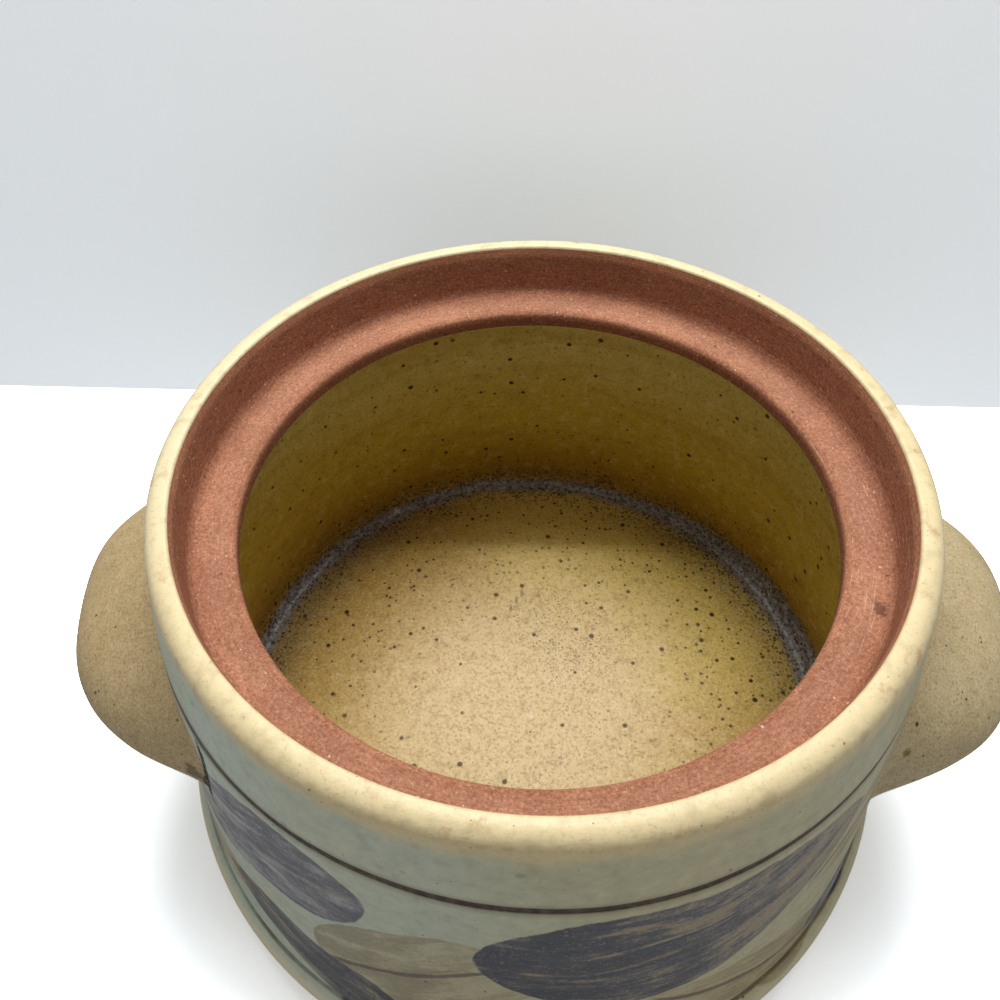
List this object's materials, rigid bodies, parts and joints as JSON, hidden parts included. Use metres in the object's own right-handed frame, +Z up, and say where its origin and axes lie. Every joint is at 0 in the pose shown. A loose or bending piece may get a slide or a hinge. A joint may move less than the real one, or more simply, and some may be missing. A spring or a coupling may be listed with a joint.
{
  "type": "bean pot",
  "caption": "Flared stoneware bean pot with two hollow lug handles, a turned foot and an open unglazed ledge inside the rim for a drop-in lid.",
  "frame": {"origin": "centre of the foot on the table, under the axis of the pot", "axes": "+Z up the axis of the pot, X through the two lug handles, -Y the side that faces the viewer"},
  "size_m": [0.2592, 0.2296, 0.135],
  "materials": {
    "glaze": "semi-matt speckled oatmeal glaze with brushed oxide decoration",
    "matte_glaze": "dry tan glaze with iron specks",
    "bare_clay": "unglazed fired red-brown clay"
  },
  "bodies": {
    "root": {"floor": "glaze", "foot_ring": "bare_clay", "wall": "glaze", "rim_band": "glaze", "lid_seat": "bare_clay", "handle_left": "matte_glaze", "handle_right": "matte_glaze"}
  },
  "joints": []
}
